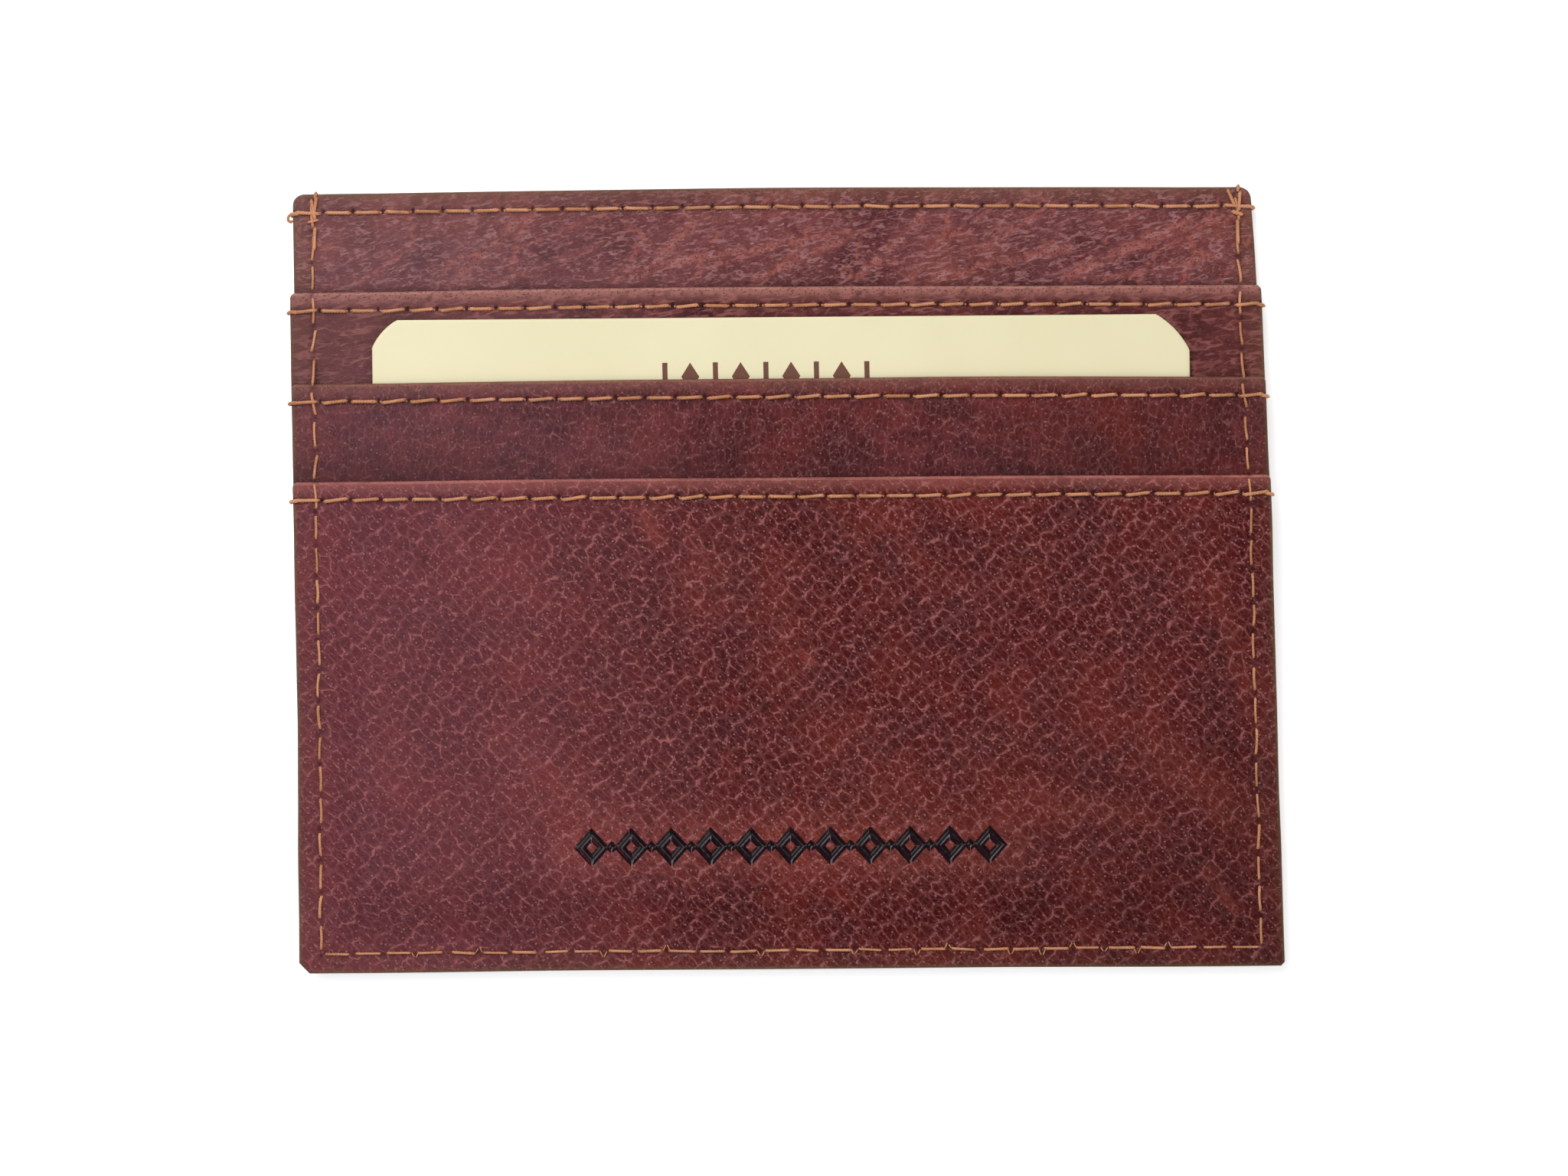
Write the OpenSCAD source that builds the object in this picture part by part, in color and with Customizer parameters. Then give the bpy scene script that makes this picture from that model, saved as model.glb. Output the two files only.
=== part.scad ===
// Slim card holder in turned-edge leather: three stepped card pockets on the front, an open
// centre pocket behind them and one filler card. It lies on its back, with +Y towards the
// pocket mouths, +Z out of the front and the origin in the middle of the back face.

/* [Body] */
// Width along the bottom edge
body_w = 102.6; // [98:0.2:108]
// Height from the bottom edge to the centre pocket's mouth
body_h = 82; // [78:0.2:88]
// How far the right side draws in from the bottom edge up to the top corner
right_draw = 2; // [0.5:0.1:4]
// Radius of the two top corners
corner_r = 1.2; // [1:0.1:3]
// Cut across the two bottom corners
corner_cut = 1.1; // [0.4:0.1:2]

/* [Pockets] */
// Step from each pocket mouth down to the next
mouth_step = 10; // [8:0.1:11]
// How far a card pocket's side tabs stand out past the wall behind them
tab_overhang = 0.4; // [0.1:0.05:0.8]
// Height of the leather strip on the upper and the middle pocket
strip_h = 22; // [18:0.5:26]
// Depth of the turned hem along each mouth
hem_h = 8; // [5:0.5:9]
// Side margin that the pocket linings leave free
lining_margin = 4.5; // [3:0.5:7]

/* [Layers] */
// Thickness of the back leather
back_t = 1; // [0.8:0.1:1.4]
// Thickness of the pocket leather
leather_t = 0.7; // [0.5:0.05:0.9]
// Thickness of the lining fabric
lining_t = 0.15; // [0.1:0.05:0.25]
// Free gap in the empty centre pocket
centre_gap = 0.3; // [0.25:0.05:0.6]

/* [Filler card] */
// Width of the card
card_w = 85.6; // [80:0.1:85.6]
// Height of the card
card_h = 54; // [50:0.1:54]
// Thickness of the card
card_t = 0.3; // [0.2:0.05:0.76]
// How far the card shows above its pocket's mouth
card_show = 6.6; // [4:0.1:9]
// Size of the clipped card corners
card_clip = 3.3; // [1:0.1:5]

/* [Stitching] */
// Thread diameter
thread_d = 0.4; // [0.25:0.05:0.55]
// Stitch length along the hems
hem_pitch = 3.1; // [2.5:0.1:4]
// Stitch length around the body
body_pitch = 3.3; // [2.5:0.1:4]
// Distance from a mouth or a bottom edge to its stitching
seam_inset = 2; // [1.5:0.1:3]

/* [Stamp] */
// Number of lozenges in the stamped band
stamp_count = 11; // [5:2:13]
// Height of the stamped band
stamp_h = 3.8; // [2.5:0.1:5]
// Length of the stamped band
stamp_w = 45.8; // [30:0.1:60]
// Height of the band's middle above the bottom edge
stamp_up = 13; // [9:0.5:16]
// Line width of the stamp
stamp_line = 0.75; // [0.4:0.05:0.9]
// Depth of the stamp
stamp_depth = 0.25; // [0.1:0.05:0.35]

/* [Hidden] */

LEATHER = "#6b3230";
LEATHER_BACK = "#5e2b29";
LINING = "#3a2522";
THREAD = "#c98a45";
CARD = "#efe6bf";
FOIL = "#1c0d10";

over = 1;                // how far cutting shapes run past what they cut
slot_clear = 0.1;        // clearance over the card in its pocket
stitch_clear = 0.1;      // clearance between the card and the stitching under it
thread_proud = 0.2;      // how far a stitch stands above the leather
thread_sides = 6;        // sides of a thread's cross-section
foil_t = 0.04;           // thickness of the stamping foil
top_draw = 0.5;          // share of right_draw that lies above the upper pocket's mouth
base_allowance = 2;      // lining below a pocket's base seam
tab_r = corner_r / 2;    // radius of the tabs' corners
bottom_flat = 4;         // flat stretch along the bottom edge where all layers are sewn
hole_share = 0.12;       // share of a stitch's length that each needle hole takes
seam_start = 0.6;        // first needle hole of the side seams, below the top edge
right_inset_top = 1.5;   // the right column's distance from the edge at the top corner
base_margin = 1;         // lining beyond the ends of a base seam
lining_set_in = 0.5;      // lining's edge inside the leather's edge
foot_clear = 0.2;        // room under the card before its pocket closes
foot_slope = 2.4;        // length over which the pocket's lining comes down to its base seam
ply_clear = 0.05;        // clearance between the front pocket and the lining under it
lozenge_share = 0.82;    // share of the stamp's pitch that a lozenge fills
clip_round = 0.4;        // rounded share of a clipped card corner
corner_steps = 5;        // straight cuts that round a corner

// Distances down from the top edge
mouth_1 = mouth_step;
mouth_2 = 2 * mouth_step;
mouth_3 = 3 * mouth_step;
card_top = mouth_2 - card_show;
card_foot = card_top + card_h;
base_2 = card_foot + foot_slope;
base_1 = base_2 - mouth_step;
bottom = body_h;

// Heights of the layers' lower faces
ply = leather_t + lining_t;
z_wall = back_t + lining_t + centre_gap;
z_upper = z_wall + ply;
z_card = z_upper + ply + thread_proud + stitch_clear;
z_middle = z_card + card_t + slot_clear;
z_front = z_middle + ply;
z_front_low = z_middle + lining_t + ply_clear;   // over the middle pocket's lining alone
z_wall_low = back_t + lining_t;             // where the wall meets the back along the bottom
z_front_foot = z_wall_low + ply;
bend_1 = mouth_2 + strip_h + 1.5;           // the front pocket leaves the middle strip here
bend_2 = bend_1 + 12;
bend_3 = bottom - stamp_up + stamp_h / 2 + 0.6;   // and comes down to the wall below the stamp

// Height up the body at a distance down from the top edge
function up(d) = body_h / 2 - d;

// Side edges of the body: the left is straight, and the right flares towards the bottom
function left_edge(d) = -body_w / 2;
function right_edge(d) = body_w / 2 - (d < mouth_1
    ? right_draw - top_draw * d / mouth_1
    : (right_draw - top_draw) * (bottom - d) / (bottom - mouth_1));

// Points around a rounded corner, from angle a to angle b
function corner_arc(x, y, r, a, b) =
    [for (i = [0:corner_steps]) let (t = a + (b - a) * i / corner_steps) [x + r * cos(t), y + r * sin(t)]];

// Outline from d0 down to d1, with tabs that stand out by side, round top corners of radius r
// and cut bottom corners
module outline(d0, d1, side, r, cut) {
    left = left_edge(d0) - side;
    right = right_edge(d0) + side;
    polygon(concat(
        corner_arc(right - r, up(d0) - r, r, 0, 90),
        corner_arc(left + r, up(d0) - r, r, 90, 180),
        [[left_edge(d1) - side, up(d1) + cut], [left_edge(d1) - side + cut, up(d1)],
         [right_edge(d1) + side - cut, up(d1)], [right_edge(d1) + side, up(d1) + cut]],
        d0 < mouth_1 ? [[right_edge(mouth_1) + side, up(mouth_1)]] : []
    ));
}

// A ply of thickness t whose lower face follows path, a list of [distance down, height]
module ply_band(path, t) {
    lower = [for (p = path) [up(p[0]), p[1]]];
    upper = [for (i = [len(path) - 1:-1:0]) [up(path[i][0]), path[i][1] + t]];
    rotate([90, 0, 90])
        linear_extrude(body_w + 2 * over + 2 * tab_overhang, center = true)
            polygon(concat(lower, upper));
}

// A ply cut to the plan outline that its children give
module cut_ply(path, t) {
    intersection() {
        ply_band(path, t);
        linear_extrude(z_front + 2 * ply) children();
    }
}

// A turned hem: leather of the full ply thickness along a mouth, on a lower face at z
module turned_hem(d0, z, t, side, r) {
    translate([0, 0, z])
        linear_extrude(t)
            intersection() {
                outline(d0, bottom, side, r, corner_cut);
                translate([-body_w, up(d0 + hem_h)]) square([2 * body_w, hem_h + over]);
            }
}

// Lining outline: full width less the margin, from d0 down to d1
module lining_outline(d0, d1, margin) {
    polygon([
        [left_edge(d0) + margin, up(d0)], [right_edge(d0) - margin, up(d0)],
        [right_edge(d1) - margin, up(d1)], [left_edge(d1) + margin, up(d1)]
    ]);
}

wall_path = [[0, z_wall], [bottom - 2 * bottom_flat, z_wall], [bottom - bottom_flat, z_wall_low],
             [bottom, z_wall_low]];
front_path = [[mouth_3, z_front], [bend_1, z_front], [bend_2, z_front_low], [bend_3, z_front_low],
              [bottom - bottom_flat, z_front_foot], [bottom, z_front_foot]];
middle_lining_path = [[mouth_2, z_middle], [card_foot + foot_clear, z_middle], [base_2, z_upper],
                      [base_2 + base_allowance, z_upper]];

function raised(path, dz) = [for (p = path) [p[0], p[1] + dz]];

module back_panel() {
    color(LEATHER_BACK) union() {
        linear_extrude(back_t) outline(0, bottom, 0, corner_r, corner_cut);
        turned_hem(0, back_t / 2, back_t / 2 + lining_t, 0, corner_r);
    }
}

module back_lining() {
    color(LINING)
        translate([0, 0, back_t])
            linear_extrude(lining_t)
                lining_outline(hem_h, bottom - lining_set_in, lining_set_in);
}

module centre_wall() {
    color(LEATHER) union() {
        cut_ply(raised(wall_path, lining_t), leather_t)
            outline(0, bottom, 0, corner_r, corner_cut);
        turned_hem(0, z_wall, ply, 0, corner_r);
    }
}

module centre_wall_lining() {
    color(LINING)
        cut_ply(wall_path, lining_t)
            lining_outline(hem_h, bottom - lining_set_in, lining_set_in);
}

// Leather strip of a T-shaped card pocket, with its lower face at z
module pocket_strip(d0, z) {
    color(LEATHER) union() {
        translate([0, 0, z + lining_t])
            linear_extrude(leather_t)
                outline(d0, d0 + strip_h, tab_overhang, tab_r, tab_r);
        turned_hem(d0, z, ply, tab_overhang, tab_r);
    }
}

module upper_pocket_strip() { pocket_strip(mouth_1, z_upper); }

module upper_pocket_lining() {
    color(LINING)
        translate([0, 0, z_upper])
            linear_extrude(lining_t)
                lining_outline(mouth_1 + hem_h, base_1 + base_allowance, lining_margin);
}

module middle_pocket_strip() { pocket_strip(mouth_2, z_middle); }

module middle_pocket_lining() {
    color(LINING)
        cut_ply(middle_lining_path, lining_t)
            lining_outline(mouth_2 + hem_h, base_2 + base_allowance, lining_margin);
}

// One lozenge ring of the stamped band
module lozenge(w, h) {
    difference() {
        polygon([[-w / 2, 0], [0, -h / 2], [w / 2, 0], [0, h / 2]]);
        polygon([[-w / 2 + stamp_line, 0], [0, -h / 2 + stamp_line * h / w],
                 [w / 2 - stamp_line, 0], [0, h / 2 - stamp_line * h / w]]);
    }
}

// The stamped band: lozenge rings with a small lozenge between each pair
module stamp_band() {
    pitch = stamp_w / stamp_count;
    translate([0, up(bottom - stamp_up)])
        for (i = [0:stamp_count - 1])
            translate([(i - (stamp_count - 1) / 2) * pitch, 0]) {
                lozenge(pitch * lozenge_share, stamp_h);
                if (i < stamp_count - 1)
                    translate([pitch / 2, 0])
                        rotate(45) square(stamp_line, center = true);
            }
}

// Places the band's children on the face of the front leather, sunk by the stamp's depth
module in_stamp() {
    translate([0, 0, z_front_low + ply - stamp_depth]) children();
}

module front_pocket_panel() {
    color(LEATHER) difference() {
        union() {
            cut_ply(raised(front_path, lining_t), leather_t)
                outline(mouth_3, bottom, tab_overhang, tab_r, corner_cut);
            turned_hem(mouth_3, z_front, ply, tab_overhang, tab_r);
        }
        in_stamp() linear_extrude(2 * stamp_depth) stamp_band();
    }
}

module front_pocket_lining() {
    color(LINING)
        cut_ply(front_path, lining_t)
            lining_outline(mouth_3 + hem_h, bottom - lining_set_in, lining_set_in);
}

module stamp_foil() {
    color(FOIL)
        in_stamp() linear_extrude(foil_t) stamp_band();
}

// The card's upper right corner: a straight clip with its two angles rounded off
function clipped_corner() = let (c = card_clip, q = card_clip * clip_round)
    [[card_w / 2, card_h / 2 - c - q / 2], [card_w / 2 - q / 4, card_h / 2 - c + q / 3],
     [card_w / 2 - c + q / 3, card_h / 2 - q / 4], [card_w / 2 - c - q / 2, card_h / 2]];

module insert_card() {
    quarter = clipped_corner();
    back_to_front = [for (i = [len(quarter) - 1:-1:0]) quarter[i]];
    color(CARD)
        translate([0, up(card_top + card_h / 2), z_card])
            linear_extrude(card_t)
                polygon(concat(
                    quarter,
                    [for (p = back_to_front) [-p[0], p[1]]],
                    [for (p = quarter) [-p[0], -p[1]]],
                    [for (p = back_to_front) [p[0], -p[1]]]
                ));
}

// Thread bar from one point to another
module thread_bar(from, to, d) {
    run = to - from;
    flat = norm([run[0], run[1]]);
    translate(from)
        rotate([0, atan2(flat, run[2]), atan2(run[1], run[0])])
            cylinder(d = d, h = norm(run), $fn = thread_sides);
}

// One lockstitch between the holes a and b: a stitch on the upper face, one on the lower face
// and the thread down the hole at a
module lockstitch(a, b, z_top_a, z_top_b, z_bottom) {
    sunk = thread_d / 2 - thread_proud;
    start = a + (b - a) * hole_share;
    stop = b - (b - a) * hole_share;
    thread_bar([start[0], start[1], z_top_a - sunk], [stop[0], stop[1], z_top_b - sunk], thread_d);
    thread_bar([start[0], start[1], z_bottom + thread_d / 2],
               [stop[0], stop[1], z_bottom + thread_d / 2], thread_d);
    thread_bar([start[0], start[1], z_bottom + thread_d / 2],
               [start[0], start[1], z_top_a - sunk], thread_d);
}

// A straight row of lockstitches through the leather between z_bottom and z_top
module stitch_row(a, b, z_top, z_bottom, pitch) {
    count = round(norm(b - a) / pitch);
    color(THREAD)
        for (i = [0:count - 1])
            lockstitch(a + (b - a) * i / count, a + (b - a) * (i + 1) / count,
                       z_top, z_top, z_bottom);
}

// Row along a hem whose mouth is at d0
module hem_row(d0, z_top, z_bottom, side) {
    d = d0 + seam_inset;
    stitch_row([left_edge(d) - side, up(d)], [right_edge(d) + side, up(d)],
               z_top, z_bottom, hem_pitch);
}

module back_hem_seam() { hem_row(0, back_t + lining_t, 0, 0); }
module centre_wall_hem_seam() { hem_row(0, z_wall + ply, z_wall, 0); }
module upper_pocket_hem_seam() { hem_row(mouth_1, z_upper + ply, z_upper, tab_overhang); }
module middle_pocket_hem_seam() { hem_row(mouth_2, z_middle + ply, z_middle, tab_overhang); }
module front_pocket_hem_seam() { hem_row(mouth_3, z_front + ply, z_front, tab_overhang); }

// Seam that closes the foot of a card pocket's lining onto the centre wall
module base_row(d) {
    stitch_row([left_edge(d) + lining_margin + base_margin, up(d)],
               [right_edge(d) - lining_margin - base_margin, up(d)],
               z_upper + lining_t, z_wall, hem_pitch);
}

module upper_pocket_base_seam() { base_row(base_1 + base_allowance / 2); }
module middle_pocket_base_seam() { base_row(base_2 + base_allowance / 2); }

// Upper face of the whole body at a distance down from the top edge
function between(path, d) = let (i = max([for (k = [0:len(path) - 2]) if (path[k][0] <= d) k]))
    path[i][1] + (path[i + 1][1] - path[i][1]) * (d - path[i][0]) / (path[i + 1][0] - path[i][0]);
function face_z(d) = d < mouth_1 ? z_wall + ply
    : d < mouth_2 ? z_upper + ply
    : d < mouth_3 ? z_middle + ply
    : between(front_path, min(d, bottom - 0.01)) + ply;

// Side column of the body seam, from the top edge down to the bottom row
module side_column(x_top, x_foot) {
    run = bottom - seam_inset - seam_start;
    count = round(run / body_pitch);
    for (i = [0:count - 1]) {
        d = seam_start + run * i / count;
        e = seam_start + run * (i + 1) / count;
        lockstitch([x_top + (x_foot - x_top) * i / count, up(d)],
                   [x_top + (x_foot - x_top) * (i + 1) / count, up(e)],
                   face_z(d), face_z(e), 0);
    }
}

module body_seam() {
    foot = bottom - seam_inset;
    left = left_edge(foot) + seam_inset;
    right = right_edge(foot) - seam_inset;
    color(THREAD) {
        side_column(left, left);
        side_column(right_edge(0) - right_inset_top, right);
    }
    stitch_row([left, up(foot)], [right, up(foot)], face_z(foot), 0, body_pitch);
}

back_panel();
back_lining();
centre_wall();
centre_wall_lining();
upper_pocket_strip();
upper_pocket_lining();
middle_pocket_strip();
middle_pocket_lining();
front_pocket_panel();
front_pocket_lining();
insert_card();
stamp_foil();
back_hem_seam();
centre_wall_hem_seam();
upper_pocket_hem_seam();
middle_pocket_hem_seam();
front_pocket_hem_seam();
upper_pocket_base_seam();
middle_pocket_base_seam();
body_seam();
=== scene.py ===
import math

import bmesh
import bpy
import numpy as np
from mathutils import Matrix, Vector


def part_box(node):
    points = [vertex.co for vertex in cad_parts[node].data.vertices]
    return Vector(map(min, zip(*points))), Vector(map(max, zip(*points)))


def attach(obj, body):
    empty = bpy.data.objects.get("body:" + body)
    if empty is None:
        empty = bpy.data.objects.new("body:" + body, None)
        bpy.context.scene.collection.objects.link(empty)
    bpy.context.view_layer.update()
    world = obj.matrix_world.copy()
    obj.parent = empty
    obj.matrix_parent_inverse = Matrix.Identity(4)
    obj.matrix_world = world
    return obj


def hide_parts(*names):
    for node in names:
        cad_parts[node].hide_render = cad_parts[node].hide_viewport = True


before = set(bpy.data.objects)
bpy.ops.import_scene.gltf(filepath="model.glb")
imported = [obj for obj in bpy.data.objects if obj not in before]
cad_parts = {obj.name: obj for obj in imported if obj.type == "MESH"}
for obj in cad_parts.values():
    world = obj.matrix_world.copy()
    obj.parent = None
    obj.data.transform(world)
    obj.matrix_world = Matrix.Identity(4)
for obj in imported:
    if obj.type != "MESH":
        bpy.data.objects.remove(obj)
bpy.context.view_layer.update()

# ---- sizes, in millimetres
MM = 0.001


def node_box(node):
    """Lowest and highest corner of a CAD node in millimetres."""
    low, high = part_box(node)
    return np.array(low) / MM, np.array(high) / MM


BODY_LOW, BODY_HIGH = node_box("back_panel")
CARD_LOW, CARD_HIGH = node_box("insert_card")
TOP_Y = BODY_HIGH[1]
BOTTOM = BODY_HIGH[1] - BODY_LOW[1]
HALF_W = BODY_HIGH[0]
MOUTH_1 = TOP_Y - node_box("upper_pocket_strip")[1][1] + 0.35  # sewn in a little unevenly
MOUTH_2 = TOP_Y - node_box("middle_pocket_strip")[1][1]
MOUTH_3 = TOP_Y - node_box("front_pocket_panel")[1][1] + 0.45
STRIP_1_END = TOP_Y - node_box("upper_pocket_strip")[0][1]
STRIP_2_END = TOP_Y - node_box("middle_pocket_strip")[0][1]
TAB = node_box("front_pocket_panel")[1][0] - HALF_W  # how far the pocket tabs overhang
BACK_T = node_box("back_lining")[0][2]  # thickness of the back leather
LINING_T = node_box("back_lining")[1][2] - BACK_T
PLY = 0.85  # turned leather and its lining
GAP = 0.3  # open centre pocket
CARD_ROOM = 0.1  # room over the card in its pocket
TOUCH = 0.02  # clearance between plies that lie on each other
RIGHT_DRAW = 2.0  # how far the right side draws in at the top corner
TOP_DRAW = 0.5  # share of that above the upper mouth
CORNER_R = 1.2  # round top corners
TAB_R = 0.6  # round corners of the tabs
BEVEL = 0.25  # rounding of the cut edges
SEAM_IN = 2.0  # stitching inside the edges
HEM_PITCH = 3.1
BODY_PITCH = 3.3
HEM_THREAD = 0.225  # thread radius on the hems
BODY_THREAD = 0.18  # thread radius on the body seam, pulled in harder
STAMP_D = BOTTOM - 13.0  # middle of the stamped band, from the top edge
STAMP_COUNT = 11
STAMP_W = 45.8
STAMP_H = 3.8
STAMP_PITCH = STAMP_W / STAMP_COUNT
STAMP_LINE = 0.75
STAMP_DEPTH = 0.3
STAMP_WALL = (-0.25, 0.3)  # where the stamp's walls begin and end, from the line's edge inwards


def smooth(a, b, x):
    """Smooth step from 0 at a to 1 at b."""
    t = np.clip((x - a) / (b - a), 0, 1)
    return t * t * (3 - 2 * t)


def lerp(a, b, t):
    return a + (b - a) * t


def bell(off, wide):
    """1 at 0, fading over a distance of about wide."""
    return np.exp(-(off / wide) ** 2)


def noise(x, y, cell, seed):
    """Smooth noise from -1 to 1 whose features are about cell mm across."""
    table = np.random.default_rng(seed).uniform(-1, 1, (256, 256))
    u, v = np.asarray(x) / cell, np.asarray(y) / cell
    iu, iv = np.floor(u).astype(int), np.floor(v).astype(int)
    fu, fv = u - iu, v - iv
    fu, fv = fu * fu * (3 - 2 * fu), fv * fv * (3 - 2 * fv)

    def at(a, b):
        return table[a % 256, b % 256]

    return lerp(lerp(at(iu, iv), at(iu + 1, iv), fu), lerp(at(iu, iv + 1), at(iu + 1, iv + 1), fu), fv)


# ---- outline and levels
# x runs across, d runs down from the top edge, and z is the height above the table
def left_edge(d):
    return -HALF_W + 0 * d


def right_edge(d):
    above = RIGHT_DRAW - TOP_DRAW * d / MOUTH_1
    below = (RIGHT_DRAW - TOP_DRAW) * (BOTTOM - d) / (BOTTOM - MOUTH_1)
    return HALF_W - np.where(d < MOUTH_1, above, below)


def pressed(x, d):
    """1 along the side seams, where every ply is sewn flat, and 0 over the open pockets."""
    inside = np.minimum(x - left_edge(d), right_edge(d) - x)
    return 1 - smooth(SEAM_IN + 0.6, SEAM_IN + 6.0, inside)


def foot(d):
    """1 along the bottom seam and 0 over the pockets."""
    return smooth(BOTTOM - 10.6, BOTTOM - SEAM_IN - 0.8, d)


def under_strip(d, end):
    """1 where a pocket strip that ends at this distance lies underneath."""
    return 1 - smooth(end - 0.5, end + 17, d)


def slab(level, thick):
    """A level raised by a thickness."""
    return lambda x, d: level(x, d) + thick


def flat(z):
    return lambda x, d: z + 0 * x


def height_at(level, x, d):
    """A level's height at one point."""
    return float(level(np.array([x]), np.array([d]))[0])


def wall_low(x, d):
    return BACK_T + LINING_T + GAP * (1 - np.maximum(pressed(x, d), foot(d)))


wall_top = slab(wall_low, PLY)
upper_low = slab(wall_top, TOUCH)
upper_top = slab(upper_low, PLY)


def middle_low(x, d):
    over_card = CARD_HIGH[2] + CARD_ROOM
    sewn = wall_top(x, d) + TOUCH + (PLY + TOUCH) * under_strip(d, STRIP_1_END)
    return lerp(over_card, sewn, pressed(x, d))


middle_top = slab(middle_low, PLY)


def front_low(x, d):
    over_card = CARD_HIGH[2] + CARD_ROOM + LINING_T + (PLY - LINING_T) * under_strip(d, STRIP_2_END)
    sewn = wall_top(x, d) + (PLY + TOUCH) * (under_strip(d, STRIP_1_END) + under_strip(d, STRIP_2_END))
    return lerp(over_card, sewn, np.maximum(pressed(x, d), foot(d))) + TOUCH


front_top = slab(front_low, PLY)


def stack_top(x, d):
    """Upper face of the whole stack of plies."""
    return np.select([d < MOUTH_1, d < MOUTH_2, d < MOUTH_3],
                     [wall_top(x, d), upper_top(x, d), middle_top(x, d)], front_top(x, d))


# ---- needle holes
def hem_row(mouth):
    """First x, pitch, distance down and number of stitches of the seam along a mouth's hem."""
    tab = TAB if mouth else 0
    d = mouth + SEAM_IN
    a, b = float(left_edge(d)) - tab, float(right_edge(d)) + tab
    count = round((b - a) / HEM_PITCH)
    return a, (b - a) / count, d, count


def hem_holes(mouth):
    """Needle holes along a hem, as an array of x and d."""
    first, pitch, d, count = hem_row(mouth)
    return np.linspace((first, d), (first + pitch * count, d), count + 1)


SEAM_LEFT = -HALF_W + SEAM_IN
SEAM_RIGHT_TOP = float(right_edge(0.0)) - 1.5
SEAM_RIGHT = HALF_W - SEAM_IN
SEAM_FOOT = BOTTOM - SEAM_IN
SEAM_START = 0.6


def body_holes():
    """Needle holes of the body seam, from the top left corner round to the top right one."""
    turns = [(SEAM_LEFT, SEAM_START), (SEAM_LEFT, SEAM_FOOT), (SEAM_RIGHT, SEAM_FOOT),
             (SEAM_RIGHT_TOP, SEAM_START)]
    holes = [turns[:1]]
    for a, b in zip(turns[:-1], turns[1:]):
        count = round(max(abs(b[0] - a[0]), abs(b[1] - a[1])) / BODY_PITCH)
        holes.append(np.linspace(a, b, count + 1)[1:])
    holes = np.concatenate(holes)
    return holes + np.random.default_rng(7).uniform(-0.09, 0.09, holes.shape)


HOLES = {"back": hem_holes(0), "wall": hem_holes(0), "upper": hem_holes(MOUTH_1),
         "middle": hem_holes(MOUTH_2), "front": hem_holes(MOUTH_3), "body": body_holes()}


def off_line(x, d, a, b):
    """Distance from the line between the points a and b."""
    run = b - a
    t = np.clip(((x - a[0]) * run[0] + (d - a[1]) * run[1]) / (run @ run), 0, 1)
    return np.hypot(x - a[0] - t * run[0], d - a[1] - t * run[1])


def seam_marks(x, d, holes, depth, groove, hole_shade):
    """(how far the leather is drawn down, how dark it is) round a row of stitching."""
    drawn, dark = np.zeros_like(x), np.zeros_like(x)
    for a, b in zip(holes[:-1], holes[1:]):
        low, high = np.minimum(a, b) - 1.2, np.maximum(a, b) + 1.2
        near = (x > low[0]) & (x < high[0]) & (d > low[1]) & (d < high[1])
        px, pd = x[near], d[near]
        off = off_line(px, pd, a, b)
        sunk, shade = groove * bell(off, 0.55), 0.22 * bell(off, 0.3)
        for hx, hd in (a, b):
            far = np.hypot(px - hx, pd - hd)
            sunk = np.maximum(sunk, depth * bell(far, 0.3))
            shade = np.maximum(shade, hole_shade * bell(far, 0.24))
        drawn[near] = np.maximum(drawn[near], sunk)
        dark[near] = np.maximum(dark[near], shade)
    return drawn, dark


def strokes(x, d, lines):
    """Soft lines, each (x, d, x, d, half width, strength), as one field."""
    field = np.zeros_like(x)
    bend = 0.5 * noise(x, d, 1.6, 90)
    for x0, d0, x1, d1, wide, strength in lines:
        off = off_line(x, d, np.array([x0, d0]), np.array([x1, d1])) + wide * bend
        field = np.maximum(field, strength * bell(off, wide))
    return field


# ---- the stamped band
RINGS = (np.arange(STAMP_COUNT) - (STAMP_COUNT - 1) / 2) * STAMP_PITCH  # x of each lozenge ring
DOTS = RINGS[:-1] + STAMP_PITCH / 2  # x of the small lozenges between them
RING_W = STAMP_PITCH * 0.41  # half width and half height of a ring
RING_H = STAMP_H / 2


def stamp_trench(x, d):
    """How deep the stamped band lies below the face, as a share."""
    depth = np.zeros_like(x)
    slope = math.hypot(RING_W, RING_H) / (RING_W * RING_H)
    for cx in RINGS:
        to_edge = (1 - np.abs(x - cx) / RING_W - np.abs(d - STAMP_D) / RING_H) / slope
        depth = np.maximum(depth, smooth(*STAMP_WALL, np.minimum(to_edge, STAMP_LINE - to_edge)))
    for cx in DOTS:
        far = (np.abs(x - cx) + np.abs(d - STAMP_D)) / math.sqrt(2)
        depth = np.maximum(depth, smooth(*STAMP_WALL, STAMP_LINE / 2 - far))
    return depth


# ---- mesh helpers
def out_of_true(verts):
    """The holder lies slightly out of true: its head leans left and is a little arched."""
    out = np.array(verts, dtype=float)
    d = TOP_Y - out[:, 1]
    arch = 0.25 * np.minimum(np.abs(out[:, 0]) / 42, 1) ** 2
    out[:, 0] -= 0.45 * (1 - smooth(0, 52, d))
    out[:, 1] -= arch * (1 - smooth(16, 32, d))
    return out


def placed(name, data):
    obj = bpy.data.objects.new(name, data)
    bpy.context.collection.objects.link(obj)
    return obj


def points(x, d, z):
    """Points, one a row, from distances across, down from the top edge and up."""
    x, d, z = (v.ravel() for v in np.broadcast_arrays(x, d, z))
    return np.stack([x, TOP_Y - d, z], 1)


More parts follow.
